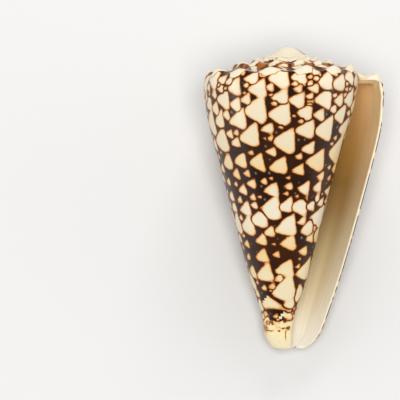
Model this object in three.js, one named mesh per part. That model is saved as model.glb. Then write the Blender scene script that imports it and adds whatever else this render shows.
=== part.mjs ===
// A marbled cone shell: one solid, coiled round its axis, lying on its back with its slit up.
// The shell grew by adding to its lip, so every point of it has two natural coordinates: how
// many turns back from the lip it was laid down, and which row of the profile it belongs to,
// counted from the suture, over the crest and the shoulder, and down the side to the tip.
import * as THREE from "three";
import { mergeVertices } from "three/addons/utils/BufferGeometryUtils.js";

// Driving dimensions, in millimetres. In the shell's own frame Z runs up the axis from the
// cut-off tip, the lip lies towards +X and the slit between lip and body faces -Y.
const LENGTH = 80; // tip to apex
const BODY_RADIUS = 18.3; // widest radius, one turn back from the lip
const WHORL_RATIO = 0.667; // each earlier turn's radius over the next one's
const LIP_EASE = 0.08; // share by which the last of the growth was slower
const LIP_EASE_TURNS = 0.285; // and how far back that reaches
const FLATTENING = 0.96; // depth, slit side to back, as a share of a round shell's
const SPIRE_TURNS = 4; // turns with knobs, before the spire ends in a plain worn cone

// The shoulder, as shares of the turn's widest radius.
const CREST_IN = 0.085; // how far the crest lies inside the widest radius
const SHOULDER_DROP = 0.25; // how far the widest radius lies below the crest
const SUTURE_ANGLE = 50; // degrees round the shoulder at which the next turn joins on
const RAMP_SAG = 0.16; // hollow of the ramp behind the crest, as a share of its width
const KNOB_LIFT = 0.058; // height of the knobs on the crest
const KNOB_SHARPNESS = 1.4; // above 1, the knobs are narrower than the dips between them
const KNOB_LEAN = 0.3; // outward part of a knob over its upward part
const KNOBS_PER_TURN = 15;
const KNOB_CROWDING = 2; // this many more a turn at the back, and fewer at the front
const KNOB_FADE_RADIUS = 6; // on turns narrower than this the knobs are worn away

// The low spire: how far it lies below the apex, as a blunt cone and a slope that steepens.
const APEX_CONE_DROP = 3;
const APEX_CONE_RADIUS = 5;
const APEX_BLUNTNESS = 1.6;
const SPIRE_SINK = 0.0016;
const SPIRE_POWER = 2.5;
const CAP_EDGE = 4; // how late the worn cap over the innermost turn bends down to its edge

// The side's outline, as [share of the way down to the tip, radius], at the lip and one turn back.
const LIP_OUTLINE = [
  [0, 25.2], [0.11, 24.6], [0.25, 22.5], [0.65, 15.2], [0.89, 9.9], [0.95, 8.1], [0.985, 5.8], [1, 4.3],
];
const BODY_OUTLINE = [
  [0, 18.3], [0.1, 17], [0.25, 13.9], [0.5, 9.2], [0.75, 4.4], [0.87, 1.2], [0.92, 0.2], [1, 0.1],
];
const PILLAR_RADIUS = 0.5; // the outline never comes closer to the axis than about this

// The ridge round the tip, and the siphon's notch in its end: turns back, then share down.
const RIDGE_LIFT = 1.3;
const RIDGE_AT = [0.55, 0.97];
const RIDGE_SPREAD = [0.25, 0.08];
const NOTCH_DEPTH = 0.45;
const NOTCH_AT = 0.25;
const NOTCH_SPREAD = 0.06;

// The growth lines, in turns: they bow forward down the side and back across the ramp.
const SIDE_BOW = 0.016;
const RAMP_BOW = 0.02;

// The wall, and the hollow between it and the turn inside it.
const LIP_THICKNESS = 0.8;
const WALL_THICKNESS = 1.8;
const THICKENS_OVER = 0.05; // turns back from the lip
const CEILING_THICKNESS = 1.2; // under the lowest part of the ramp
const CEILING_REACH = 0.6; // where along the ramp that is
const ARCH_SPREAD = [0, 0.12, 0.86, 1]; // the arch's corners, from the inner turn to the wall
const MOST_OF_ROOM = 0.6; // the wall never takes more of the room over the inner turn
const HOLLOW_TURNS = 0.88;
const HOLLOW_CLOSING = 0.2; // turns over which its far end narrows

// How the shell lies: tipped until its back lies level on the ground, and worn flat there.
const REST_PITCH = 14.35;
const WORN_DEPTH = 0.8;

// The grid: steps in one turn, and rows along the profile.
const STEPS = 64;
const RAMP_ROWS = 4; // suture to crest
const SEAT_ROWS = 1; // crest to where the next turn joins on
const SHOULDER_ROWS = 4; // from there to the widest radius
const SIDE_ROWS = 14;
const CAP_RINGS = 5; // from the innermost turn to the apex

const CREST_ROW = RAMP_ROWS;
const SEAT_ROW = CREST_ROW + SEAT_ROWS;
const CEILING_ROW = SEAT_ROW + 1;
const SIDE_ROW = SEAT_ROW + SHOULDER_ROWS;
const TIP_ROW = SIDE_ROW + SIDE_ROWS;
const HOLLOW_STEPS = Math.round(HOLLOW_TURNS * STEPS);
const SPIRE_STEPS = Math.round(SPIRE_TURNS * STEPS);

const lerp = (a, b, t) => a + (b - a) * t;
const clamp = (x, low, high) => Math.min(Math.max(x, low), high);
const smooth = (t) => t * t * (3 - 2 * t);
const bell = (x, middle, spread) => Math.exp(-(((x - middle) / spread) ** 2));
const range = (from, to) => Array.from({ length: to - from + 1 }, (_, i) => from + i);

// A smooth curve through [x, y] points, read at x.
function through(points, x) {
  const last = points.length - 1;
  const slope = (i) => {
    const [before, after] = [points[Math.max(i - 1, 0)], points[Math.min(i + 1, last)]];
    return (after[1] - before[1]) / (after[0] - before[0]);
  };
  const i = clamp(points.findIndex((point) => point[0] >= x) - 1, 0, last - 1);
  const [[x0, y0], [x1, y1]] = [points[i], points[i + 1]];
  const t = (x - x0) / (x1 - x0);
  const bend = t * (1 - t) * (x1 - x0);
  return lerp(y0, y1, smooth(t)) + bend * ((1 - t) * slope(i) - t * slope(i + 1));
}

// Straight from stop to stop, which are evenly spaced.
function fromStopToStop(stops, share) {
  const at = share * (stops.length - 1);
  return stops.reduce((sum, stop, i) => sum + stop * Math.max(1 - Math.abs(at - i), 0), 0);
}

// The widest radius of the turn that was laid down so many turns back.
function wideRadius(turns) {
  return BODY_RADIUS * WHORL_RATIO ** (turns - 1) * (1 - LIP_EASE * bell(turns, 0, LIP_EASE_TURNS));
}

// From 0 between two knobs to 1 on top of one.
function knob(turns) {
  const round = 2 * Math.PI * turns;
  const phase = KNOBS_PER_TURN * round + KNOB_CROWDING * (1 - Math.cos(round));
  const kept = smooth(clamp(wideRadius(turns) / KNOB_FADE_RADIUS - 0.5, 0, 1));
  return (0.5 + 0.5 * Math.cos(phase)) ** KNOB_SHARPNESS * kept;
}

function spireDrop(radius) {
  const cone = 1 - Math.exp(-((radius / APEX_CONE_RADIUS) ** APEX_BLUNTNESS));
  return APEX_CONE_DROP * cone + SPIRE_SINK * radius ** SPIRE_POWER;
}

// The shoulder is a quarter ellipse, from 0 at the crest to 90 degrees at the widest radius.
function shoulderPoint(turns, degrees) {
  const wide = wideRadius(turns);
  const crest = wide * (1 - CREST_IN);
  const angle = THREE.MathUtils.degToRad(degrees);
  const lift = KNOB_LIFT * wide * (knob(turns) - 1) * Math.cos(angle);
  return {
    radius: lerp(crest, wide, Math.sin(angle)) + KNOB_LEAN * lift,
    height: LENGTH - spireDrop(crest) - SHOULDER_DROP * wide * (1 - Math.cos(angle)) + lift,
    back: turns,
  };
}

// The hollowed ramp, from 0 at the suture to 1 at the crest.
function rampPoint(turns, share) {
  const suture = shoulderPoint(turns + 1, SUTURE_ANGLE);
  const crest = shoulderPoint(turns, 0);
  const arc = Math.sin(Math.PI * share);
  return {
    radius: lerp(suture.radius, crest.radius, share),
    height: lerp(suture.height, crest.height, share) - RAMP_SAG * (crest.radius - suture.radius) * arc,
    back: turns + RAMP_BOW * arc,
  };
}

// The side, from 0 at the widest radius to 1 at the tip.
function sidePoint(turns, share) {
  const top = shoulderPoint(turns, 90);
  const inward = (wideRadius(0) - wideRadius(turns)) / (wideRadius(0) - BODY_RADIUS);
  const outline = lerp(through(LIP_OUTLINE, share), through(BODY_OUTLINE, share), inward);
  const ridge = bell(turns, RIDGE_AT[0], RIDGE_SPREAD[0]) * bell(share, RIDGE_AT[1], RIDGE_SPREAD[1]);
  const drawn = outline + RIDGE_LIFT * ridge;
  return {
    radius: 0.5 * (drawn + Math.hypot(drawn, 2 * PILLAR_RADIUS * share)),
    height: lerp(top.height, NOTCH_DEPTH * bell(turns, NOTCH_AT, NOTCH_SPREAD), share),
    back: turns - SIDE_BOW * Math.sin(Math.PI * share),
  };
}

function outerPoint(step, row) {
  const turns = step / STEPS;
  if (row <= CREST_ROW) return rampPoint(turns, row / RAMP_ROWS);
  if (row <= SEAT_ROW) return shoulderPoint(turns, (SUTURE_ANGLE * (row - CREST_ROW)) / SEAT_ROWS);
  if (row <= SIDE_ROW) {
    return shoulderPoint(turns, lerp(SUTURE_ANGLE, 90, (row - SEAT_ROW) / SHOULDER_ROWS));
  }
  return sidePoint(turns, (row - SIDE_ROW) / SIDE_ROWS);
}

// The hollow's outer face where it is fully open: an arch under the ramp, then down the wall.
function openPoint(step, row) {
  const turns = step / STEPS;
  const outer = outerPoint(step, Math.max(row, SIDE_ROW));
  const inner = outerPoint(step + STEPS, Math.max(row, CEILING_ROW));
  const thickness = lerp(WALL_THICKNESS, LIP_THICKNESS, Math.exp(-turns / THICKENS_OVER));
  const wall = outer.radius - Math.min(thickness, MOST_OF_ROOM * (outer.radius - inner.radius));
  if (row >= SIDE_ROW) return { ...outer, radius: wall };
  const share = (row - CEILING_ROW) / (SIDE_ROW - CEILING_ROW);
  const ceiling = rampPoint(turns, CEILING_REACH).height - CEILING_THICKNESS;
  return {
    radius: lerp(inner.radius, wall, fromStopToStop(ARCH_SPREAD, share)),
    height: fromStopToStop([inner.height, ceiling, ceiling, outer.height], share),
    back: outer.back,
  };
}

// The same face, drawn in towards the turn inside it where the hollow ends.
function wallPoint(step, row) {
  const ending = clamp((HOLLOW_STEPS - step) / (HOLLOW_CLOSING * STEPS), 0, 1);
  const share = Math.sqrt(1 - (1 - ending) ** 2);
  const open = openPoint(step, row);
  const inner = outerPoint(step + STEPS, row);
  return {
    radius: lerp(inner.radius, open.radius, share),
    height: lerp(inner.height, open.height, share),
    back: lerp(inner.back - 1, open.back, share),
  };
}

// The worn cap over the innermost turn, from 0 at the apex to 1 at its edge.
function capPoint(edge, share) {
  const radius = share * edge.radius;
  const height = lerp(LENGTH - spireDrop(radius), edge.height, share ** CAP_EDGE);
  return { radius, height, back: edge.back };
}

// Collects vertices by name, so that patches meet on the vertices that they share.
class Surface {
  constructor() {
    this.points = [];
    this.known = new Map();
    this.faces = [];
  }

  vertex(name, point) {
    if (!this.known.has(name)) {
      const azimuth = 2 * Math.PI * point.back;
      const depth = FLATTENING * point.radius * Math.sin(azimuth);
      this.known.set(name, this.points.length / 3);
      this.points.push(point.radius * Math.cos(azimuth), depth, point.height);
    }
    return this.known.get(name);
  }

  outer(step, row) {
    // A turn starts on the turn before it, where that one's shoulder seats its suture.
    if (row === 0 && step + STEPS <= SPIRE_STEPS) return this.outer(step + STEPS, SEAT_ROW);
    return this.vertex(`outer ${step} ${row}`, outerPoint(step, row));
  }

  wall(step, row) {
    if (row === CEILING_ROW || step === HOLLOW_STEPS) return this.outer(step + STEPS, row);
    return this.vertex(`wall ${step} ${row}`, wallPoint(step, row));
  }

  face(...corners) {
    for (const i of range(1, corners.length - 2)) this.faces.push(corners[0], corners[i], corners[i + 1]);
  }

  // A grid of quads; turned over, it faces the axis.
  patch([firstStep, lastStep], [firstRow, lastRow], vertex, over = false) {
    for (const step of range(firstStep, lastStep - 1)) {
      for (const row of range(firstRow, lastRow - 1)) {
        const [a, b] = [vertex(step, row), vertex(step, row + 1)];
        const [c, d] = [vertex(step + 1, row + 1), vertex(step + 1, row)];
        this.face(...(over ? [d, c, b, a] : [a, b, c, d]));
      }
    }
  }

  // Joins two lines of vertices that run side by side, whatever their counts.
  zip(left, right) {
    let [i, j] = [0, 0];
    while (i < left.length - 1 || j < right.length - 1) {
      if ((i + 1) * (right.length - 1) <= (j + 1) * (left.length - 1)) {
        this.face(left[i], right[j], left[i + 1]);
        i += 1;
      } else {
        this.face(left[i], right[j], right[j + 1]);
        j += 1;
      }
    }
  }
}

function addTurns(surface) {
  const outer = (step, row) => surface.outer(step, row);
  const wall = (step, row) => surface.wall(step, row);
  surface.patch([0, STEPS], [0, TIP_ROW], outer); // the last turn
  surface.patch([STEPS, SPIRE_STEPS], [0, SEAT_ROW], outer); // the spire
  surface.patch([STEPS, STEPS + HOLLOW_STEPS], [CEILING_ROW, TIP_ROW], outer); // inside the hollow
  surface.patch([0, HOLLOW_STEPS], [CEILING_ROW, TIP_ROW], wall, true); // the wall's inner face
}

// The lip's thin edge, from the suture down to the tip.
function addLip(surface) {
  const outside = range(0, TIP_ROW).map((row) => surface.outer(0, row));
  const seat = range(SEAT_ROW, CEILING_ROW).map((row) => surface.outer(STEPS, row));
  const arch = range(CEILING_ROW + 1, SIDE_ROW).map((row) => surface.wall(0, row));
  const inside = range(SIDE_ROW, TIP_ROW).map((row) => surface.wall(0, row));
  surface.zip(outside.slice(1, SIDE_ROW + 1), [...seat, ...arch]);
  surface.zip(outside.slice(SIDE_ROW), inside);
}

// The cut-off tip: the wall's end, and a flat end to the pillar.
function addTip(surface) {
  const outer = (step) => surface.outer(step, TIP_ROW);
  const wall = (step) => surface.wall(step, TIP_ROW);
  for (const step of range(0, HOLLOW_STEPS - 1)) {
    surface.face(outer(step), wall(step), wall(step + 1), outer(step + 1));
  }
  const end = range(HOLLOW_STEPS, HOLLOW_STEPS + STEPS).map(outer);
  const middle = surface.vertex("tip", { radius: 0, height: 0, back: 0 });
  [...end, end[0]].slice(1).forEach((next, i) => surface.face(middle, next, end[i]));
}

// The cap's edge runs once round the innermost turn and back across that turn's start.
function addApex(surface) {
  const innermost = range(SPIRE_STEPS - STEPS + 1, SPIRE_STEPS).map((step) => [step, 0]);
  const edge = [...innermost, ...range(1, SEAT_ROW).map((row) => [SPIRE_STEPS, row])];
  let ring = edge.map(([step, row]) => surface.outer(step, row));
  const before = (i) => (i + edge.length - 1) % edge.length;
  for (const level of range(1, CAP_RINGS - 1).reverse()) {
    const inner = edge.map(([step, row], i) => {
      return surface.vertex(`cap ${level} ${i}`, capPoint(outerPoint(step, row), level / CAP_RINGS));
    });
    for (const i of edge.keys()) surface.face(inner[before(i)], ring[before(i)], ring[i], inner[i]);
    ring = inner;
  }
  const top = surface.vertex("apex", { radius: 0, height: LENGTH, back: 0 });
  for (const i of edge.keys()) surface.face(top, ring[before(i)], ring[i]);
}

function shellGeometry() {
  const surface = new Surface();
  addTurns(surface);
  addLip(surface);
  addTip(surface);
  addApex(surface);
  const geometry = new THREE.BufferGeometry();
  geometry.setAttribute("position", new THREE.Float32BufferAttribute(surface.points, 3));
  geometry.setIndex(surface.faces);
  return mergeVertices(geometry);
}

// Laid down, the apex is towards +Y and the slit faces up. The middle of the box is over the origin.
function layDown(geometry) {
  geometry.rotateX(THREE.MathUtils.degToRad(REST_PITCH - 90));
  geometry.computeBoundingBox();
  const { min, max } = geometry.boundingBox;
  const ground = min.z + WORN_DEPTH;
  const position = geometry.attributes.position;
  for (const i of range(0, position.count - 1)) position.setZ(i, Math.max(position.getZ(i), ground));
  return geometry.translate(-(min.x + max.x) / 2, -(min.y + max.y) / 2, -ground);
}

const material = new THREE.MeshStandardMaterial({ color: 0xe9d6b2, roughness: 0.35, metalness: 0 });
const shell = new THREE.Mesh(layDown(shellGeometry()), material);
shell.name = "shell";

const model = new THREE.Group();
model.add(shell);

export default model;
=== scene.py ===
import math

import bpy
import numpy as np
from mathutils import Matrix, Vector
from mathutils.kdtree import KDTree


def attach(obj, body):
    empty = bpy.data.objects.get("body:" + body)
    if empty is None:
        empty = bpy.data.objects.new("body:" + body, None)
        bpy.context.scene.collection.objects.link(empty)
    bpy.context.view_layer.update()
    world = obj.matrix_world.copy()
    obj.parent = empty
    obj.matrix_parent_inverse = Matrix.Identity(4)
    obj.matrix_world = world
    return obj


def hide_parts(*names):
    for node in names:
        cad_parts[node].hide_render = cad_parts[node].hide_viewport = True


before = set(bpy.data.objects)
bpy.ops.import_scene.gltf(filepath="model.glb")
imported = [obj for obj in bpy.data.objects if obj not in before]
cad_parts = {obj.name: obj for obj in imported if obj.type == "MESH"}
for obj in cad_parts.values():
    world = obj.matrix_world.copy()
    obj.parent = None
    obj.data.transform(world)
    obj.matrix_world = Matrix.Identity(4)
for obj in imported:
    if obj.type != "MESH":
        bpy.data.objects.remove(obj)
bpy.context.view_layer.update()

# A marbled cone shell, lying on its back with its slit up, on a pale studio floor. The shell is one
# skin, drawn from the same growth formulas as the CAD solid but on a much finer grid. Its markings
# are tents: pale sails on dark brown, thrown onto the skin one by one, the largest first. Each
# corner of the mesh carries its distance to the nearest tents, and the material draws their edges.

MM = 0.001

# Driving dimensions of the shell, in millimetres. In the shell's own frame Z runs up the axis from
# the cut-off tip, the lip lies towards +X and the slit between lip and body faces -Y.
LENGTH = 80  # tip to apex
BODY_RADIUS = 18.3  # widest radius, one turn back from the lip
WHORL_RATIO = 0.667  # each earlier turn's radius over the next one's
LIP_EASE = 0.08  # share by which the last of the growth was slower
LIP_EASE_TURNS = 0.285  # and how far back that reaches
FLATTENING = 0.96  # depth, slit side to back, as a share of a round shell's
SPIRE_TURNS = 4  # turns with knobs, before the spire ends in a plain worn cone

# The shoulder, as shares of the turn's widest radius.
CREST_IN = 0.085  # how far the crest lies inside the widest radius
SHOULDER_DROP = 0.25  # how far the widest radius lies below the crest
SUTURE_ANGLE = 50  # degrees round the shoulder at which the next turn joins on
RAMP_SAG = 0.16  # hollow of the ramp behind the crest, as a share of its width
KNOB_LIFT = 0.058  # height of the knobs on the crest
KNOB_SHARPNESS = 1.4  # above 1, the knobs are narrower than the dips between them
KNOB_LEAN = 0.3  # outward part of a knob over its upward part
KNOBS_PER_TURN = 15
KNOB_CROWDING = 2  # this many more a turn at the back, and fewer at the front
KNOB_FADE_RADIUS = 6  # on turns narrower than this the knobs are worn away
KNOB_VARIETY = 0.3  # how much the knobs differ in height

# The low spire: how far it lies below the apex, as a blunt cone and a slope that steepens.
APEX_CONE_DROP = 3
APEX_CONE_RADIUS = 5
APEX_BLUNTNESS = 1.6
CAP_EDGE = 4  # how late the worn cap over the innermost turn bends down to its edge
SPIRE_SINK = 0.0016
SPIRE_POWER = 2.5

# The side's outline, as [share of the way down to the tip, radius], at the lip and one turn back.
LIP_OUTLINE = [
    (0, 25.2), (0.11, 24.6), (0.25, 22.5), (0.65, 15.2), (0.89, 9.9), (0.95, 8.1), (0.985, 5.8), (1, 4.3),
]
BODY_OUTLINE = [
    (0, 18.3), (0.1, 17), (0.25, 13.9), (0.5, 9.2), (0.75, 4.4), (0.87, 1.2), (0.92, 0.2), (1, 0.1),
]
PILLAR_RADIUS = 0.5  # the outline never comes closer to the axis than about this

# The ridge round the tip, and the siphon's notch in its end: turns back, then share down.
RIDGE_LIFT = 1.3
RIDGE_AT = (0.55, 0.97)
RIDGE_SPREAD = (0.25, 0.08)
NOTCH_DEPTH = 0.45
NOTCH_AT = 0.25
NOTCH_SPREAD = 0.06

# The growth lines, in turns: they bow forward down the side and back across the ramp.
SIDE_BOW = 0.016
RAMP_BOW = 0.02

# The wall, and the hollow between it and the turn inside it.
LIP_THICKNESS = 0.8
WALL_THICKNESS = 1.8
THICKENS_OVER = 0.05  # turns back from the lip
CEILING_THICKNESS = 1.2  # under the lowest part of the ramp
CEILING_REACH = 0.6  # where along the ramp that is
ARCH_SPREAD = [0, 0.12, 0.86, 1]  # the arch's corners, from the inner turn to the wall
MOST_OF_ROOM = 0.6  # the wall never takes more of the room over the inner turn
HOLLOW_TURNS = 0.88
HOLLOW_CLOSING = 0.2  # turns over which its far end narrows

# How the shell lies: tipped until its back lies level on the ground, and worn flat there.
REST_PITCH = 14.35
WORN_DEPTH = 0.8

# The fine grid: steps in one turn, and rows along the profile.
STEPS = 320
RAMP_ROWS = 12  # suture to crest
SEAT_ROWS = 3  # crest to where the next turn joins on
SHOULDER_ROWS = 12  # from there to the widest radius
SIDE_ROWS = 100
CREST_ROW = RAMP_ROWS
SEAT_ROW = CREST_ROW + SEAT_ROWS
CEILING_ROW = SEAT_ROW + SHOULDER_ROWS // 4
SIDE_ROW = SEAT_ROW + SHOULDER_ROWS
TIP_ROW = SIDE_ROW + SIDE_ROWS
HOLLOW_STEPS = round(HOLLOW_TURNS * STEPS)
SPIRE_STEPS = SPIRE_TURNS * STEPS
RIM_RINGS = 3  # rings of vertices that round the lip's edge
CAP_RINGS = 12  # and that round the apex

RIM_BULGE = 0.45  # millimetres that the rounded edge stands forward at the most
COLUMN_GROWTH = 1.12  # columns inside the hollow stand further apart by this each time
WIDEST_COLUMN = 10  # up to this many steps

# Every corner of a face says which region it belongs to.
OUTSIDE, RIM, INSIDE = 0.0, 0.5, 1.0
MARKED_BELOW = 0.9  # faces whose corners average more than this have no markings

# The markings, down the side from the shoulder in millimetres: the width of a large tent there, and
# the gap that tents keep, negative where they crowd into each other.
LARGE_TENT = [
    (-6, 4.5), (4, 5.5), (10, 6.6), (19, 6.6), (24, 3.3), (30, 3.5), (33, 6.2), (38, 6.5),
    (41, 3.3), (47, 3.1), (50, 5.6), (58, 5.6), (64, 5), (76, 4),
]
TENT_GAP = [
    (-6, -0.6), (10, -0.4), (15, 0.1), (19, 0.3), (24, 0.6), (28, 0.5), (31, -0.1), (33, -1), (38, -1),
    (41, 0.6), (46, 1), (49, 0), (52, -0.9), (60, -1), (76, -1),
]
# Tents are thrown in passes: their width over a large one's, and how many are thrown.
TENT_PASSES = [(1.1, 2500), (0.9, 3500), (0.7, 5000), (0.5, 4000), (0.36, 1500)]
MOST_TENTS = 4000
SMALLEST_TENT = 1.5
OVERLAP = 0.17  # the most that crowded tents overlap, as a share of a tent's width
TALLNESS = (0.8, 1.12)  # height over width, of small and of large tents
SHORTENED = (1, 0.88, 0.76)  # the sizes at which a tent is tried
BRANCH_CHANCE = 0.35
SMALLEST_BRANCHED = 2.6  # tents narrower than this don't branch
NEAREST = 3  # tents whose distance each corner of the mesh carries
FAR = 4.0  # millimetres, the distance stored where no tent is near

# The faint dots in the dark between the tents.
DOT_THROWS = 2600
DOT_RADIUS = (0.22, 0.5)
DOT_CLEARANCE = 0.2  # from tents
DOT_SPACING = 1.6
DOT_REACH = 8  # tents whose centres lie further off are not in a dot's way
DOT_CHANCE = [(0, 0.9), (20, 0.6), (30, 0.35), (76, 0.25)]  # millimetres down the side, chance

# The pale knobs and the pale tip.
KNOB_MARK_ROWS = 7  # how far the knobs' pale patches reach below the crest
PALE_SPIRE = (2.4, 3.2)  # turns back over which the spire turns wholly pale
TIP_PALE_FROM = 0.892  # share of the way down
TIP_PALE_TILT = 8  # millimetres that its edge climbs in one turn back
TIP_PALE_AT = 0.68  # turns back where the edge lies at that share

rng = np.random.default_rng(11)


def lerp(a, b, t):
    return a + (b - a) * t


def smooth(t):
    return t * t * (3 - 2 * t)


def bell(x, middle, spread):
    return np.exp(-(((x - middle) / spread) ** 2))


def through(points, x):
    """A smooth curve through (x, y) points, read at x."""
    xs, ys = np.array(points, float).T
    slopes = np.empty_like(xs)
    slopes[1:-1] = (ys[2:] - ys[:-2]) / (xs[2:] - xs[:-2])
    slopes[0] = (ys[1] - ys[0]) / (xs[1] - xs[0])
    slopes[-1] = (ys[-1] - ys[-2]) / (xs[-1] - xs[-2])
    i = np.clip(np.searchsorted(xs, x) - 1, 0, len(xs) - 2)
    width = xs[i + 1] - xs[i]
    t = (x - xs[i]) / width
    bend = t * (1 - t) * width
    return lerp(ys[i], ys[i + 1], smooth(t)) + bend * ((1 - t) * slopes[i] - t * slopes[i + 1])


def from_stop_to_stop(stops, share):
    """Straight from stop to stop, which are evenly spaced."""
    at = share * (len(stops) - 1)
    return sum(stop * np.maximum(1 - abs(at - i), 0) for i, stop in enumerate(stops))


# The growth formulas. Each gives radius, height and turns back for arrays of turns and shares.


def wide_radius(turns):
    return BODY_RADIUS * WHORL_RATIO ** (turns - 1) * (1 - LIP_EASE * bell(turns, 0, LIP_EASE_TURNS))


def knob_phase(turns):
    around = 2 * math.pi * turns
    return KNOBS_PER_TURN * around + KNOB_CROWDING * (1 - np.cos(around))


def knob(turns):
    """From 0 between two knobs to about 1 on top of one."""
    phase = knob_phase(turns)
    kept = smooth(np.clip(wide_radius(turns) / KNOB_FADE_RADIUS - 0.5, 0, 1))
    height = 1 + KNOB_VARIETY * np.sin(0.37 * phase + 1) * np.sin(0.23 * phase)
    return (0.5 + 0.5 * np.cos(phase)) ** KNOB_SHARPNESS * kept * height


def spire_drop(radius):
    cone = 1 - np.exp(-((radius / APEX_CONE_RADIUS) ** APEX_BLUNTNESS))
    return APEX_CONE_DROP * cone + SPIRE_SINK * radius**SPIRE_POWER


def shoulder_point(turns, degrees):
    wide = wide_radius(turns)
    crest = wide * (1 - CREST_IN)
    angle = np.radians(degrees)
    lift = KNOB_LIFT * wide * (knob(turns) - 1) * np.cos(angle)
    radius = lerp(crest, wide, np.sin(angle)) + KNOB_LEAN * lift
    height = LENGTH - spire_drop(crest) - SHOULDER_DROP * wide * (1 - np.cos(angle)) + lift
    return np.array([radius, height, turns + 0 * radius])


def ramp_point(turns, share):
    suture = shoulder_point(turns + 1, SUTURE_ANGLE)
    crest = shoulder_point(turns, 0)
    arc = np.sin(math.pi * share)
    sag = RAMP_SAG * (crest[0] - suture[0]) * arc
    radius, height = lerp(suture[:2], crest[:2], share)
    return np.array([radius, height - sag, turns + RAMP_BOW * arc])


def side_point(turns, share):
    top = shoulder_point(turns, 90)
    inward = (wide_radius(0) - wide_radius(turns)) / (wide_radius(0) - BODY_RADIUS)
    outline = lerp(through(LIP_OUTLINE, share), through(BODY_OUTLINE, share), inward)
    ridge = bell(turns, RIDGE_AT[0], RIDGE_SPREAD[0]) * bell(share, RIDGE_AT[1], RIDGE_SPREAD[1])
    drawn = outline + RIDGE_LIFT * ridge
    radius = 0.5 * (drawn + np.hypot(drawn, 2 * PILLAR_RADIUS * share))
    height = lerp(top[1], NOTCH_DEPTH * bell(turns, NOTCH_AT, NOTCH_SPREAD), share)
    return np.array([radius, height, turns - SIDE_BOW * np.sin(math.pi * share)])


def outer_point(step, row):
    turns, row = np.broadcast_arrays(np.asarray(step, float) / STEPS, np.asarray(row, float))
    ramp = ramp_point(turns, np.clip(row / RAMP_ROWS, 0, 1))
    seat = SUTURE_ANGLE * (row - CREST_ROW) / SEAT_ROWS
    below = lerp(SUTURE_ANGLE, 90, (row - SEAT_ROW) / SHOULDER_ROWS)
    shoulder = shoulder_point(turns, np.clip(np.where(row <= SEAT_ROW, seat, below), 0, 90))
    side = side_point(turns, np.clip((row - SIDE_ROW) / SIDE_ROWS, 0, 1))
    return np.where(row <= CREST_ROW, ramp, np.where(row <= SIDE_ROW, shoulder, side))


def open_point(step, row):
    """The hollow's outer face where it is fully open: an arch under the ramp, then down the wall."""
    turns = np.asarray(step, float) / STEPS
    outer = outer_point(step, np.maximum(row, SIDE_ROW))
    inner = outer_point(step + STEPS, np.maximum(row, CEILING_ROW))
    thickness = lerp(WALL_THICKNESS, LIP_THICKNESS, np.exp(-turns / THICKENS_OVER))
    wall = outer[0] - np.minimum(thickness, MOST_OF_ROOM * (outer[0] - inner[0]))
    share = np.clip((row - CEILING_ROW) / (SIDE_ROW - CEILING_ROW), 0, 1)
    ceiling = ramp_point(turns, CEILING_REACH)[1] - CEILING_THICKNESS
    radius = lerp(inner[0], wall, from_stop_to_stop(ARCH_SPREAD, share))
    height = from_stop_to_stop([inner[1], ceiling, ceiling, outer[1]], share)
    arched = np.array([radius, height, outer[2]])
    return np.where(row >= SIDE_ROW, np.array([wall, outer[1], outer[2]]), arched)


def wall_point(step, row):
    """The same face, drawn in towards the turn inside it where the hollow ends."""
    ending = np.clip((HOLLOW_STEPS - step) / (HOLLOW_CLOSING * STEPS), 0, 1)
    share = np.sqrt(1 - (1 - ending) ** 2)
    radius, height, back = outer_point(step + STEPS, row)
    inner = np.array([radius, height, back - 1])  # a whole turn less is the same way round
    return lerp(inner, open_point(step, row), share)


def in_space(point):
    """Radius, height and turns back as x, y and z in the shell's own frame."""
    radius, height, back = point
    around = 2 * math.pi * back
    return np.stack([radius * np.cos(around), FLATTENING * radius * np.sin(around), height], -1)


class Skin:
    """Vertices by name and faces by vertex, with the turns, row and region of every corner."""

    def __init__(self):
        self.known = {}
        self.faces = []
        self.places = []

    def vertex(self, kind, step, row):
        return self.known.setdefault((kind, step, row), len(self.known))

    def outer(self, step, row):
        # A turn starts on the turn before it, where that one's shoulder seats its suture.
        if row == 0 and step + STEPS <= SPIRE_STEPS:
            return self.vertex("outer", step + STEPS, SEAT_ROW)
        return self.vertex("outer", step, row)

    def wall(self, step, row):
        if row == CEILING_ROW or step == HOLLOW_STEPS:
            return self.outer(step + STEPS, row)
        return self.vertex("wall", step, row)

    def face(self, corners):
        """Corners are (vertex, (step, row, region)); one that repeats its neighbour is left out."""
        kept = [c for i, c in enumerate(corners) if c[0] != corners[i - 1][0]]
        if len(kept) > 2:
            self.faces.append([c[0] for c in kept])
            self.places.append([c[1] for c in kept])

    def patch(self, columns, rows, vertex, region, over=False):
        """A grid of quads; turned over, it faces the axis."""
        for left, right in zip(columns, columns[1:]):
            for top, low in zip(rows, rows[1:]):
                spots = [(left, top), (left, low), (right, low), (right, top)]
                corners = [(vertex(*spot), (*spot, region)) for spot in spots]
                self.face(corners[::-1] if over else corners)

    def zip(self, left, right):
        """Joins two lines of corners that run side by side, whatever their counts."""
        i = j = 0
        while i < len(left) - 1 or j < len(right) - 1:
            if (i + 1) * (len(right) - 1) <= (j + 1) * (len(left) - 1):
                self.face([left[i], right[j], left[i + 1]])
                i += 1
            else:
                self.face([left[i], right[j], right[j + 1]])
                j += 1


def hidden_columns():
    """Columns from the lip to the hollow's end, close at first and then further and further apart."""
    columns, gap = [0], 1.0
    while columns[-1] < HOLLOW_STEPS - gap:
        columns.append(columns[-1] + round(gap))
        gap = min(gap * COLUMN_GROWTH, WIDEST_COLUMN)
    return [*columns, HOLLOW_STEPS]


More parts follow.
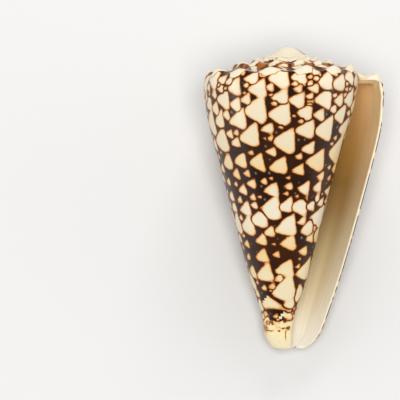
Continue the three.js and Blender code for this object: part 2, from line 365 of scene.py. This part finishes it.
def add_turns(skin):
    rows = range(TIP_ROW + 1)
    hidden = hidden_columns()
    skin.patch(range(STEPS + 1), rows, skin.outer, OUTSIDE)
    skin.patch(range(STEPS, SPIRE_STEPS + 1), rows[: SEAT_ROW + 1], skin.outer, OUTSIDE)
    skin.patch([STEPS + c for c in hidden], rows[CEILING_ROW:], skin.outer, INSIDE)
    skin.patch(hidden, rows[CEILING_ROW:], skin.wall, INSIDE, over=True)


def add_lip(skin):
    """The lip's thin edge: rings that bulge forward from its outer face, zipped to its inner one."""
    edge = [(skin.outer(0, row), (0, row, OUTSIDE)) for row in range(TIP_ROW + 1)]
    for ring in range(1, RIM_RINGS + 1):
        region = lerp(OUTSIDE, INSIDE, ring / (RIM_RINGS + 1))
        bulge = [edge[0]]
        bulge += [(skin.vertex("rim", ring, row), (0, row, region)) for row in range(1, TIP_ROW + 1)]
        for row in range(TIP_ROW):
            skin.face([edge[row], bulge[row], bulge[row + 1], edge[row + 1]])
        edge = bulge
    seat = [(skin.outer(STEPS, row), (0, row, INSIDE)) for row in range(SEAT_ROW, CEILING_ROW + 1)]
    inside = seat + [(skin.wall(0, row), (0, row, INSIDE)) for row in range(CEILING_ROW + 1, TIP_ROW + 1)]
    skin.zip(edge[1 : SIDE_ROW + 1], inside[1 : SIDE_ROW - SEAT_ROW + 1])
    skin.zip(edge[SIDE_ROW:], inside[SIDE_ROW - SEAT_ROW :])
    skin.face([edge[0], inside[1], edge[1]])


def add_tip(skin):
    """The cut-off tip: the wall's end, and a flat end to the pillar."""
    hidden = hidden_columns()
    outer = [(skin.outer(step, TIP_ROW), (step, TIP_ROW, OUTSIDE)) for step in range(HOLLOW_STEPS + 1)]
    wall = [(skin.wall(step, TIP_ROW), (step, TIP_ROW, INSIDE)) for step in hidden]
    skin.zip(outer, wall)
    rounded = [skin.vertex("rim", ring, TIP_ROW) for ring in range(1, RIM_RINGS + 1)]
    spots = [(v, (0, TIP_ROW, RIM)) for v in (outer[0][0], *rounded, wall[0][0])]
    for a, b in zip(spots[1:-1], spots[2:]):
        skin.face([spots[0], a, b])
    end = [*range(HOLLOW_STEPS, STEPS), *[STEPS + c for c in hidden]]
    ring = [(skin.outer(step, TIP_ROW), (step, TIP_ROW, OUTSIDE)) for step in end]
    middle = (skin.vertex("tip", 0, 0), (STEPS, TIP_ROW, OUTSIDE))
    for here, after in zip(ring, [*ring[1:], ring[0]]):
        skin.face([middle, after, here])


def cap_brink():
    """The edge of the plain worn cap, as (step, row): once round the innermost turn and back across."""
    innermost = [(step, 0) for step in range(SPIRE_STEPS - STEPS + 1, SPIRE_STEPS + 1)]
    return innermost + [(SPIRE_STEPS, row) for row in range(1, SEAT_ROW + 1)]


def add_apex(skin):
    brink = cap_brink()
    ring = [(skin.outer(*spot), (*spot, OUTSIDE)) for spot in brink]
    for level in range(CAP_RINGS - 1, 0, -1):
        inner = [(skin.vertex("cap", level, i), (*spot, OUTSIDE)) for i, spot in enumerate(brink)]
        for i in range(len(brink)):
            skin.face([inner[i - 1], ring[i - 1], ring[i], inner[i]])
        ring = inner
    top = (skin.vertex("apex", 0, 0), (SPIRE_STEPS, 0, OUTSIDE))
    for i in range(len(brink)):
        skin.face([top, ring[i - 1], ring[i]])


def cap_points(level, i):
    """Points on the cap, which is as round as the spire and bends down to its edge."""
    share = level / CAP_RINGS
    spots = np.array(cap_brink())[i]
    radius, height, back = outer_point(spots[:, 0], spots[:, 1])
    round_height = LENGTH - spire_drop(share * radius)
    return in_space((share * radius, lerp(round_height, height, share**CAP_EDGE), back))


def rim_points(ring, row):
    """Points on the lip's rounded edge, between its outer and its inner face."""
    outer = in_space(outer_point(0 * row, row))
    arch = lerp(CEILING_ROW, SIDE_ROW, row / SIDE_ROW)
    inner = in_space(wall_point(0 * row, np.maximum(row, arch)))
    across = inner - outer
    thickness = np.linalg.norm(across, axis=-1, keepdims=True)
    share = (1 - np.cos(math.pi * ring / (RIM_RINGS + 1)))[:, None] / 2
    bulge = np.sin(math.pi * ring / (RIM_RINGS + 1))[:, None] * np.minimum(thickness / 2, RIM_BULGE)
    return outer + across * share - np.array([0, 1, 0]) * bulge


def skin_points(skin):
    names = np.array([(kind, str(step), str(row)) for kind, step, row in skin.known])
    kind, step, row = names[:, 0], names[:, 1].astype(int), names[:, 2].astype(int)
    points = np.zeros((len(names), 3))
    for name, place in (("outer", outer_point), ("wall", wall_point)):
        chosen = kind == name
        points[chosen] = in_space(place(step[chosen], row[chosen]))
    chosen = kind == "rim"
    points[chosen] = rim_points(step[chosen], row[chosen])
    chosen = kind == "cap"
    points[chosen] = cap_points(step[chosen], row[chosen])
    points[kind == "apex"] = [0, 0, LENGTH]
    return points


def laid_down(points):
    """The turn and the shift that lay the shell down with its slit up and the ground at 0."""
    a = math.radians(REST_PITCH - 90)
    turn = np.array([[1, 0, 0], [0, math.cos(a), -math.sin(a)], [0, math.sin(a), math.cos(a)]])
    turned = points @ turn.T
    low, high = turned.min(0), turned.max(0)
    shift = np.array([-(low[0] + high[0]) / 2, -(low[1] + high[1]) / 2, -low[2] - WORN_DEPTH])
    return turn, shift


# The markings.


class Tents:
    """Pale sails, each a rounded polygon or two in a plane that touches the skin at its centre."""

    LOBES = 3  # a sail and its branches
    SIDES = 7

    def __init__(self, room):
        self.count = 0
        self.centre = np.zeros((room, 3))
        self.along = np.zeros((room, 3))  # towards the growing lip, where the sail's point is
        self.up = np.zeros((room, 3))  # along the growth line, towards the spire
        self.planes = np.zeros((room, self.LOBES, self.SIDES, 3))  # normals and offsets of the sides
        self.round = np.ones(room)
        self.reach = np.zeros(room)
        self.tint = np.zeros(room)

    def distance(self, points, chosen):
        """Distances in millimetres from points to chosen tents, which are negative inside them."""
        offset = points - self.centre[chosen]
        a = (offset * self.along[chosen]).sum(-1)[..., None, None]
        b = (offset * self.up[chosen]).sum(-1)[..., None, None]
        planes = self.planes[chosen]
        sides = planes[..., 0] * a + planes[..., 1] * b - planes[..., 2]
        k = self.round[chosen][..., None]
        most = sides.max(-1)
        lobes = most + k * np.log(np.exp((sides - most[..., None]) / k[..., None]).sum(-1))
        return lobes.min(-1)

    def add(self, centre, along, up, lobes, size):
        """Adds a tent of one sail or more; its size is the first one's width."""
        i = self.count
        self.centre[i], self.along[i], self.up[i] = centre, along, up
        self.planes[i] = [lobes[min(k, len(lobes) - 1)] for k in range(self.LOBES)]
        self.round[i] = rng.uniform(0.02, 0.06) * size + 0.05
        self.reach[i] = 1.1 * size * (1 + 0.7 * (len(lobes) - 1))
        self.tint[i] = rng.random()
        self.count += 1


def sail(width, height):
    """The sides of one sail: a blunt point towards +a, a high corner at the back and a round foot."""
    point = np.array([0.5, rng.uniform(-0.22, 0.02)])
    high = np.array([rng.uniform(-0.46, -0.3), 0.5])
    heel = np.array([-0.48, rng.uniform(-0.44, -0.3)])
    foot = np.array([rng.uniform(-0.38, -0.14), -0.5])
    above = lerp(high, point, rng.uniform(0.4, 0.7)) + rng.uniform(0.02, 0.1) * np.array([0.7, 0.7])
    below = lerp(point, foot, rng.uniform(0.3, 0.6)) + rng.uniform(0.04, 0.1) * np.array([0.6, -0.8])
    blunt = point + np.array([-0.02, -0.1])
    corners = np.array([high, above, point, blunt, below, foot, heel]) * [width, height]
    edges = np.roll(corners, -1, 0) - corners
    normals = np.stack([edges[:, 1], -edges[:, 0]], 1) / np.linalg.norm(edges, axis=1)[:, None]
    offsets = (normals * corners).sum(1)
    return np.column_stack([normals, offsets]) * np.sign(offsets)[:, None]


def shifted(sides, offset):
    return np.column_stack([sides[:, :2], sides[:, 2] + sides[:, :2] @ offset])


def outline_of(sides, spot, middle=(0, 0)):
    """Points in space where rays from a sail's middle leave it."""
    angles = np.linspace(0, 2 * math.pi, 24, endpoint=False)
    rays = np.stack([np.cos(angles), np.sin(angles)], 1)
    facing = rays @ sides[:, :2].T
    room = sides[:, 2] - sides[:, :2] @ np.array(middle, float)
    reach = np.where(facing > 1e-6, room / np.maximum(facing, 1e-6), np.inf).min(1)
    centre, ahead, upward = spot
    flat = rays * reach[:, None] + middle
    return centre + flat[:, :1] * ahead + flat[:, 1:] * upward


def place_tents(points, along, up, down):
    """Throws tents at the grid's points, the widest first."""
    tents = Tents(MOST_TENTS)
    large = np.interp(down, *np.array(LARGE_TENT).T).ravel()
    gaps = np.interp(down, *np.array(TENT_GAP).T).ravel()
    area = np.linalg.norm(np.gradient(points, axis=0), axis=-1).ravel()
    spots = np.stack([points, along, up], 2).reshape(-1, 3, 3)
    for share, throws in TENT_PASSES:
        for i in rng.choice(len(area), throws, p=area / area.sum()):
            width = share * large[i] * rng.uniform(0.85, 1.1)
            if width > SMALLEST_TENT:
                try_tent(tents, spots[i], width, max(gaps[i], -OVERLAP * width))
    return tents


def try_tent(tents, spot, width, gap):
    """Adds a tent at the spot, a little smaller if need be, unless that is too near to another."""
    centre, ahead, upward = spot
    apart = np.linalg.norm(tents.centre[: tents.count] - centre, axis=1)
    near = np.flatnonzero(apart < tents.reach[: tents.count] + 1.2 * width)
    if not has_room(tents, near, centre[None], max(gap, 0) + 0.2 * width):
        return
    tallness = np.interp(width, (2, 6.5), TALLNESS) * rng.uniform(0.85, 1.15)
    sides = sail(width, tallness * width)
    for scale in SHORTENED:
        smaller = sides * [1, 1, scale]
        if has_room(tents, near, outline_of(smaller, spot), gap):
            lobes = [smaller]
            for way in rng.permutation([-1, 1]):
                branch(tents, near, spot, lobes, scale * width, gap, way)
            tents.add(*spot, lobes, scale * width)
            return


def has_room(tents, near, points, gap):
    return len(near) == 0 or tents.distance(points[:, None], near).min() > gap


def branch(tents, near, spot, lobes, size, gap, way):
    """Sometimes adds a smaller sail that grows out of the first one's foot or head, if it finds room."""
    if size < SMALLEST_BRANCHED or rng.random() > BRANCH_CHANCE:
        return
    small = size * rng.uniform(0.5, 0.85)
    offset = np.array([-0.42 * (size - small), way * 0.5 * (size + 0.7 * small)])
    lobe = shifted(sail(small, small), offset)
    if has_room(tents, near, outline_of(lobe, spot, offset), gap):
        lobes.append(lobe)


def nearest_tents(tents, centres):
    """For every face, the tents whose edges are nearest to its centre, or -1 where none is near."""
    tree = KDTree(len(centres))
    for i, centre in enumerate(centres):
        tree.insert(centre, i)
    tree.balance()
    best = np.full((len(centres), NEAREST), FAR)
    owner = np.full((len(centres), NEAREST), -1)
    for i in range(tents.count):
        found = np.array([hit[1] for hit in tree.find_range(tents.centre[i], tents.reach[i] + 2)])
        if len(found) == 0:
            continue
        d = tents.distance(centres[found], np.full(len(found), i))
        nearer = d < best[found, -1]
        found, d = found[nearer], d[nearer]
        best[found, -1], owner[found, -1] = d, i
        order = np.argsort(best[found], axis=1)
        best[found] = np.take_along_axis(best[found], order, 1)
        owner[found] = np.take_along_axis(owner[found], order, 1)
    return owner


def place_dots(tents, points, down):
    """Small faint dots, which fill some of the dark between the tents."""
    flat, depth = points.reshape(-1, 3), down.ravel()
    chance = np.interp(depth, *np.array(DOT_CHANCE).T)
    dots = []
    for i in rng.choice(len(flat), DOT_THROWS, replace=False):
        apart = np.linalg.norm(tents.centre[: tents.count] - flat[i], axis=1)
        near = np.flatnonzero(apart < DOT_REACH)
        radius = rng.uniform(*DOT_RADIUS)
        free = has_room(tents, near, flat[i][None], radius + DOT_CLEARANCE)
        alone = all(np.linalg.norm(flat[i] - dot[:3]) > DOT_SPACING for dot in dots)
        if free and alone and rng.random() < chance[i]:
            dots.append([*flat[i], radius])
    return np.array(dots)


def dot_distance(dots, points):
    """Distances from points to the edge of the nearest dot."""
    tree = KDTree(len(dots))
    for i, dot in enumerate(dots):
        tree.insert(dot[:3], i)
    tree.balance()
    found = [tree.find(p) for p in points]
    return np.array([min(hit[2] - dots[hit[1]][3], FAR) for hit in found])


def body_grid():
    """Points of the last turn with the ways to the lip and to the spire, and how far down they lie."""
    first_row = SEAT_ROW - 1
    columns, rows = np.meshgrid(np.arange(STEPS + 1), np.arange(first_row, TIP_ROW + 1), indexing="ij")
    grid = in_space(outer_point(columns, rows))
    upward = -np.gradient(grid, axis=1)
    upward /= np.linalg.norm(upward, axis=-1, keepdims=True)
    ahead = -np.gradient(grid, axis=0)
    ahead -= (ahead * upward).sum(-1, keepdims=True) * upward
    ahead /= np.maximum(np.linalg.norm(ahead, axis=-1, keepdims=True), 1e-9)
    length = np.linalg.norm(np.diff(grid, axis=1), axis=-1)
    down = np.concatenate([np.zeros((STEPS + 1, 1)), np.cumsum(length, axis=1)], axis=1)
    widest = SIDE_ROW - first_row
    return grid, ahead, upward, down - down[:, widest : widest + 1]


def corner_places(skin):
    """Step, row and region of every corner."""
    return np.concatenate([np.array(places, float) for places in skin.places])


def corner_tents(tents, skin, points):
    """For every corner, the tents that its whole face keeps to."""
    counts = np.array([len(face) for face in skin.faces])
    first = np.cumsum(counts) - counts
    centres = np.add.reduceat(points[np.concatenate(skin.faces)], first) / counts[:, None]
    marked = np.add.reduceat(corner_places(skin)[:, 2], first) / counts < MARKED_BELOW
    owner = np.full((len(counts), NEAREST), -1)
    owner[marked] = nearest_tents(tents, centres[marked])
    return np.repeat(owner, counts, axis=0)


def tent_distances(tents, corners, owner):
    distances = np.full(owner.shape, FAR)
    for k in range(NEAREST):
        has = owner[:, k] >= 0
        distances[has, k] = np.minimum(tents.distance(corners[has], owner[has, k]), FAR)
    return distances


def markings(skin, points):
    """Corner by corner: the distances to the nearest tents, and patch, dot and tint."""
    grid, ahead, upward, down = body_grid()
    above_tip = np.s_[:, :-2]
    tents = place_tents(grid[above_tip], ahead[above_tip], upward[above_tip], down[above_tip])
    dots = place_dots(tents, grid, down)
    vertex = np.concatenate(skin.faces)
    owner = corner_tents(tents, skin, points)
    tint = np.where(owner[:, 0] >= 0, tents.tint[owner[:, 0]], 0.5)
    dot = dot_distance(dots, points)[vertex]
    marks = np.stack([patch_distance(corner_places(skin)), dot, tint], 1)
    return tent_distances(tents, points[vertex], owner), marks


def patch_distance(place):
    """Distance to the pale knobs, ramps, apex and tip, which dark gaps part."""
    turns, row = place[:, 0] / STEPS, place[:, 1]
    phase = knob_phase(turns)
    wave = 0.5 + 0.5 * np.cos(phase + 0.5)
    down = np.clip((row - CREST_ROW) / KNOB_MARK_ROWS, 0, 1)
    gap = 6 * (1 - wave - lerp(0.68, -0.3, smooth(down)))
    seam = 3 * (0.5 - 3.5 * np.abs(row / RAMP_ROWS - 0.3) - 1.1 * np.cos(1.7 * phase))
    size = np.clip(wide_radius(turns) / BODY_RADIUS, 0.3, 1.2)
    spire = size * np.where(row < CREST_ROW, np.maximum(gap, seam), gap)
    worn = (turns - PALE_SPIRE[0]) / (PALE_SPIRE[1] - PALE_SPIRE[0])
    spire = lerp(spire, -FAR, smooth(np.clip(worn, 0, 1)))
    share = (row - SIDE_ROW) / SIDE_ROWS
    tip = (TIP_PALE_FROM - share) * LENGTH + TIP_PALE_TILT * (TIP_PALE_AT - turns)
    return np.where(row < SIDE_ROW, spire, tip)


def shell_skin():
    skin = Skin()
    add_turns(skin)
    add_lip(skin)
    add_tip(skin)
    add_apex(skin)
    return skin


def store(mesh, name, values):
    layer = mesh.attributes.new(name, "FLOAT_VECTOR", "CORNER")
    layer.data.foreach_set("vector", values.astype(np.float32).ravel())


def shell_mesh():
    """The skin as a mesh in place, and where the middle of its tip lies, in millimetres."""
    skin = shell_skin()
    points = skin_points(skin)
    tents, marks = markings(skin, points)
    step, row, region = corner_places(skin).T
    share_down = np.clip((row - SIDE_ROW) / SIDE_ROWS, -0.3, 1)
    turn, shift = laid_down(points)
    placed = points @ turn.T + shift
    placed[:, 2] = np.maximum(placed[:, 2], 0)
    mesh = bpy.data.meshes.new("shell_skin")
    mesh.from_pydata(placed * MM, [], skin.faces)
    mesh.polygons.foreach_set("use_smooth", np.ones(len(mesh.polygons), bool))
    store(mesh, "tents", tents)
    store(mesh, "marks", marks)
    store(mesh, "growth", np.stack([step / STEPS, share_down, region], 1))
    mesh.update()
    return mesh, shift


# Materials.


class Nodes:
    """A short way to write a node tree: sockets and numbers in, a socket out."""

    def __init__(self, tree):
        self.tree = tree

    def add(self, kind, **settings):
        node = self.tree.nodes.new(kind)
        for name, value in settings.items():
            setattr(node, name, value)
        return node

    def feed(self, socket, value):
        if isinstance(value, bpy.types.NodeSocket):
            self.tree.links.new(value, socket)
        else:
            socket.default_value = value

    def math(self, operation, *values, clamp=False):
        node = self.add("ShaderNodeMath", operation=operation, use_clamp=clamp)
        for socket, value in zip(node.inputs, values):
            self.feed(socket, value)
        return node.outputs[0]

    def attribute(self, name):
        """The three parts of a vector attribute."""
        node = self.add("ShaderNodeAttribute", attribute_name=name)
        parts = self.add("ShaderNodeSeparateXYZ")
        self.feed(parts.inputs[0], node.outputs["Vector"])
        return parts.outputs

    def between(self, value, start, end, low=0.0, high=1.0):
        """Goes smoothly from low to high as value goes from start to end."""
        node = self.add("ShaderNodeMapRange", interpolation_type="SMOOTHSTEP")
        for name, number in (("Value", value), ("From Min", start), ("From Max", end)):
            self.feed(node.inputs[name], number)
        self.feed(node.inputs["To Min"], low)
        self.feed(node.inputs["To Max"], high)
        return node.outputs[0]

    def ramp(self, value, stops):
        node = self.add("ShaderNodeValToRGB")
        elements = node.color_ramp.elements
        while len(elements) < len(stops):
            elements.new(0.5)
        for element, (position, colour) in zip(elements, stops):
            element.position, element.color = position, colour
        self.feed(node.inputs[0], value)
        return node.outputs[0]

    def mix(self, share, a, b, blend="MIX"):
        node = self.add("ShaderNodeMix", data_type="RGBA", blend_type=blend)
        self.feed(node.inputs[0], share)
        self.feed(node.inputs[6], a)
        self.feed(node.inputs[7], b)
        return node.outputs[2]

    def noise(self, vector, scale, detail=2.0, roughness=0.5, dimensions="3D"):
        node = self.add("ShaderNodeTexNoise", noise_dimensions=dimensions)
        self.feed(node.inputs["Scale"], scale)
        self.feed(node.inputs["Detail"], detail)
        self.feed(node.inputs["Roughness"], roughness)
        self.feed(node.inputs["W" if dimensions == "1D" else "Vector"], vector)
        return node.outputs[0]


def tone(code):
    """A colour written as in a picture editor, as the linear values that Blender takes."""
    parts = [int(code[i : i + 2], 16) / 255 for i in (1, 3, 5)]
    return [*[((c + 0.055) / 1.055) ** 2.4 if c > 0.04045 else c / 12.92 for c in parts], 1]


def shell_material():
    material = bpy.data.materials.new("glossy_marbled_shell")
    material.use_nodes = True
    material.node_tree.nodes.clear()
    n = Nodes(material.node_tree)
    where = n.add("ShaderNodeTexCoord").outputs["Object"]
    turns, share, inside = n.attribute("growth")

    colour = marked_colour(n, where, turns, share)
    colour = n.mix(n.between(inside, 0.34, 0.42), colour, tone("#E2D6BC"))
    # The inside's colour carries painted light: paler towards the lip, and darker deep inside as painted
    # shade.
    colour = n.mix(n.between(inside, 0.8, 0.95), colour, inner_colour(n, turns, share))

    shader = n.add("ShaderNodeBsdfPrincipled")
    n.feed(shader.inputs["Base Color"], colour)
    n.feed(shader.inputs["Roughness"], n.between(n.noise(where, 160.0), 0.3, 0.7, 0.3, 0.4))
    shader.inputs["Specular IOR Level"].default_value = 0.25
    shader.inputs["Coat Weight"].default_value = 0.12
    shader.inputs["Coat Roughness"].default_value = 0.15
    n.feed(shader.inputs["Normal"], growth_line_bump(n, turns, inside))
    output = n.add("ShaderNodeOutputMaterial")
    n.feed(output.inputs["Surface"], shader.outputs[0])
    return material


def growth_line_bump(n, turns, inside):
    """Fine growth lines, which are fainter on the inside."""
    lines = n.noise(n.math("MULTIPLY", turns, 260.0), 1.0, 3.0, 0.6, "1D")
    bump = n.add("ShaderNodeBump")
    bump.inputs["Strength"].default_value = 0.25
    bump.inputs["Distance"].default_value = 0.0001
    n.feed(bump.inputs["Height"], n.math("MULTIPLY", lines, n.between(inside, 0.6, 0.9, 1.0, 0.2)))
    return bump.outputs[0]


def marked_colour(n, where, turns, share):
    """The outside: pale tents, knobs and tip with glowing edges on the dark ground, then finer marks."""
    patch, dot, tint = n.attribute("marks")
    edge = pale_edge(n, where, patch, share)
    colour = edged(n, edge, cream(n, tint, share), dark_ground(n, where, turns, share))
    colour = tip_veins(n, where, share, colour)
    colour = tip_stains(n, where, share, colour)
    colour = suture_line(n, where, turns, share, colour)
    faint = n.between(dot, -0.3, 0.15, 0.7, 0.0)
    faint = n.math("MULTIPLY", faint, n.between(edge, 0.1, 0.3))
    return n.mix(faint, colour, tone("#78705F"))


def tent_edges(n, where):
    """The smallest and the second smallest of the three stored distances, roughened."""
    a, b, c = n.attribute("tents")
    first = n.math("MINIMUM", n.math("MINIMUM", a, b), c)
    low, high = n.math("MINIMUM", a, b), n.math("MAXIMUM", a, b)
    second = n.math("MAXIMUM", low, n.math("MINIMUM", high, c))
    rough = n.math("SUBTRACT", n.noise(where, 420.0, 3.0, 0.6), 0.5)
    first = n.math("MULTIPLY_ADD", rough, 0.7, first)
    second = n.math("MULTIPLY_ADD", rough, 0.7, second)
    return first, second


def pale_edge(n, where, patch, share):
    """Millimetres to the edge of what is pale, negative inside it. Thin lines part touching tents."""
    first, second = tent_edges(n, where)
    apart = n.math("SUBTRACT", second, first)
    line = n.between(n.noise(where, 110.0), 0.4, 0.6, 0.13, 0.34)
    tents = n.math("MAXIMUM", first, n.math("SUBTRACT", line, apart))
    tents = n.math("MAXIMUM", tents, n.between(share, -0.144, -0.122, 1.0, -4.0))
    swing = n.math("ADD", n.between(share, -0.1, 0.0, 9.0, 3.0), n.between(share, 0.8, 0.9, 0.0, 5.0))
    rough = n.math("SUBTRACT", n.noise(where, 300.0, 4.0, 0.6), 0.5)
    patch = n.math("MULTIPLY_ADD", rough, swing, patch)
    outline = n.math("SUBTRACT", 0.2, n.math("ABSOLUTE", patch))
    return n.math("MINIMUM", n.math("MAXIMUM", tents, outline), patch)


def cream(n, tint, share):
    """The pale colour, which goes from cream to ochre and back down the side."""
    bands = n.ramp(share, [
        (0, tone("#D2C7AE")), (0.2, tone("#D3C5A6")), (0.33, tone("#D4B67E")), (0.4, tone("#D4CBB4")),
        (0.52, tone("#D4CBB4")), (0.6, tone("#D4B06C")), (0.7, tone("#D4C69E")), (0.88, tone("#D7CBA8")),
        (0.93, tone("#DCCA94")), (1, tone("#DDD4B6")),
    ])
    return n.mix(n.math("MULTIPLY", tint, 0.4), bands, tone("#D9CBB0"))


def dark_ground(n, where, turns, share):
    """Dark brown, which is rusty and mottled on the spire."""
    dark = n.mix(n.between(n.noise(where, 90.0, 3.0), 0.35, 0.65), tone("#1E0C02"), tone("#341804"))
    rusty = n.mix(n.between(n.noise(where, 500.0, 3.0), 0.4, 0.6), tone("#4A220C"), tone("#A8662A"))
    above_crest = n.between(share, -0.19, -0.15, 0.8, 0.0)
    earlier_turns = n.between(turns, 1.0, 1.03, 0.0, 0.8)
    return n.mix(n.math("MAXIMUM", above_crest, earlier_turns), dark, rusty)


def edged(n, edge, pale, dark):
    """From pale through gold, orange and brown to dark."""
    colour = n.mix(n.between(edge, -0.9, -0.25, 0.0, 0.3), pale, tone("#DDB164"))
    colour = n.mix(n.between(edge, -0.45, -0.05), colour, tone("#C4803A"))
    colour = n.mix(n.between(edge, -0.1, 0.02), colour, tone("#6E3615"))
    return n.mix(n.between(edge, -0.02, 0.2), colour, dark)


def tip_veins(n, where, share, colour):
    """A few thin brown lines in the pale tip."""
    vein = n.math("ABSOLUTE", n.math("SUBTRACT", n.noise(where, 240.0, 1.5), 0.5))
    vein = n.math("ADD", vein, n.between(share, 0.9, 0.93, 0.2, 0.0))
    vein = n.math("ADD", vein, n.between(share, 0.95, 0.98, 0.0, 0.1))
    vein = n.math("ADD", vein, n.between(n.noise(where, 170.0), 0.38, 0.48, 0.1, 0.0))
    colour = n.mix(n.between(vein, 0.02, 0.1, 0.8, 0.0), colour, tone("#D89C48"))
    return n.mix(n.between(vein, 0.015, 0.045, 0.9, 0.0), colour, tone("#4A230C"))


def tip_stains(n, where, share, colour):
    """Small brown stains where the pale tip begins."""
    stain = n.noise(where, 380.0, 3.0, 0.6)
    stain = n.math("SUBTRACT", stain, n.between(share, 0.86, 0.89, 0.3, 0.0))
    stain = n.math("SUBTRACT", stain, n.between(share, 0.93, 0.97, 0.0, 0.3))
    colour = n.mix(n.between(stain, 0.53, 0.58, 0.0, 0.8), colour, tone("#D89C48"))
    return n.mix(n.between(stain, 0.57, 0.6, 0.0, 0.9), colour, tone("#4A230C"))


def suture_line(n, where, turns, share, colour):
    """A brown line where a turn joins the one before it, which fades on the worn apex."""
    wavy = n.math("MULTIPLY_ADD", n.noise(where, 700.0), 0.012, share)
    line = n.math("MULTIPLY", n.between(wavy, -0.262, -0.258, 0.8, 0.0), n.between(turns, 2.6, 3.2, 1.0, 0.0))
    return n.mix(line, colour, tone("#6E3615"))


def inner_colour(n, turns, share):
    """Golden brown deep inside, paler towards the lip and nearly white at the foot. Partly painted light: the
    golden brown is partly a painted glow of light through the thin shell, the paler colour towards the lip is
    painted light, and the darker colour deep inside is painted shade.
    """
    depth = n.math("PINGPONG", turns, 0.5)
    # Deep inside: golden brown, partly a painted glow of light through the shell, darkened as painted shade.
    deep = n.ramp(share, [
        (0, tone("#EABE7C")), (0.13, tone("#CC9E5E")), (0.24, tone("#B48842")), (0.35, tone("#9A743C")),
        (0.46, tone("#A48252")), (0.6, tone("#C0AA7C")), (0.8, tone("#DCCAA6")), (1, tone("#F2ECDC")),
    ])
    # Near the lip: paler, as painted light and a painted glow of light through the thin lip.
    near = n.ramp(share, [
        (0, tone("#FFE6B4")), (0.3, tone("#F4D4A2")), (0.45, tone("#F4DEB2")), (0.6, tone("#FCEDCC")),
        (0.8, tone("#FCF2DA")), (1, tone("#F6F0E4")),
    ])
    colour = n.mix(n.between(depth, 0.0, 0.1), near, deep)
    streaks = n.noise(n.math("MULTIPLY", turns, 45.0), 1.0, 2.0, 0.5, "1D")
    return n.mix(n.between(streaks, 0.3, 0.7, 0.0, 0.1), colour, tone("#8A6236"))


def plain_material(name, colour, roughness):
    material = bpy.data.materials.new(name)
    material.use_nodes = True
    shader = material.node_tree.nodes["Principled BSDF"]
    shader.inputs["Base Color"].default_value = colour
    shader.inputs["Roughness"].default_value = roughness
    return material


# The scene, in metres.

FLOOR_REACH = 3
SHELL_MIDDLE = (0, 0, 0.02)

def add_object(name, mesh, material):
    mesh.materials.append(material)
    made = bpy.data.objects.new(name, mesh)
    bpy.context.collection.objects.link(made)
    return made


def add_floor():
    r = FLOOR_REACH
    mesh = bpy.data.meshes.new("studio_floor")
    mesh.from_pydata([(-r, -r, 0), (r, -r, 0), (r, r, 0), (-r, r, 0)], [], [(0, 1, 2, 3)])
    floor = add_object("studio_floor", mesh, plain_material("pale_paper", (0.6, 0.595, 0.585, 1), 0.7))


def add_light(name, at, size, power, mirrored=True):
    lamp = bpy.data.lights.new(name, "AREA")
    lamp.shape, lamp.size, lamp.size_y = "RECTANGLE", size[0], size[1]
    lamp.energy = power
    light = bpy.data.objects.new(name, lamp)
    light.location = at
    light.rotation_euler = (Vector(SHELL_MIDDLE) - Vector(at)).to_track_quat("-Z", "Y").to_euler()
    light.visible_glossy = mirrored
    bpy.context.collection.objects.link(light)


def add_lights():
    add_light("strip_left", (-0.45, 0.02, 0.12), (0.5, 0.1), 0.8)
    add_light("strip_right", (0.45, 0.02, 0.14), (0.5, 0.1), 0.6)
    add_light("overhead", (0.0, -0.18, 0.9), (0.5, 0.5), 8.7, mirrored=False)
    add_light("spire_fill", (0.05, 0.5, 0.3), (0.3, 0.2), 1.6, mirrored=False)
    world = bpy.data.worlds.new("studio")
    world.use_nodes = True
    world.node_tree.nodes["Background"].inputs[0].default_value = (1, 1, 1, 1)
    world.node_tree.nodes["Background"].inputs[1].default_value = 0.25
    bpy.context.scene.world = world
    bpy.context.scene.view_settings.view_transform = "Standard"


# The camera looks square at the slit, three degrees from the spire's side.
VIEW_ELEVATION = 78.65
PICTURE_WIDTH = 0.1061  # at the shell
AXIS_RIGHT = 0.0233  # how far the shell's axis stands right of the picture's middle
TIP_BELOW = 0.0394  # and how far its tip lies below it
LENS = 200
SENSOR = 36


def add_camera(tip_middle):
    tip = Vector(tip_middle * MM)
    e = math.radians(VIEW_ELEVATION)
    back = Vector((0, -math.cos(e), math.sin(e)))
    up = Vector((0, math.sin(e), math.cos(e)))
    middle = tip + up * TIP_BELOW - Vector((1, 0, 0)) * AXIS_RIGHT
    camera = bpy.data.objects.new("camera", bpy.data.cameras.new("camera"))
    camera.data.lens = LENS
    camera.data.sensor_width = SENSOR
    distance = PICTURE_WIDTH * LENS / SENSOR
    camera.location = middle + back * distance
    camera.rotation_euler = (-back).to_track_quat("-Z", "Y").to_euler()
    camera.data.clip_start, camera.data.clip_end = 0.01, 20
    bpy.context.collection.objects.link(camera)
    bpy.context.scene.camera = camera


def main():
    mesh, tip_middle = shell_mesh()
    shell = add_object("cone_shell_skin", mesh, shell_material())
    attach(shell, "root")
    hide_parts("shell")
    add_floor()
    add_lights()
    add_camera(tip_middle)


main()
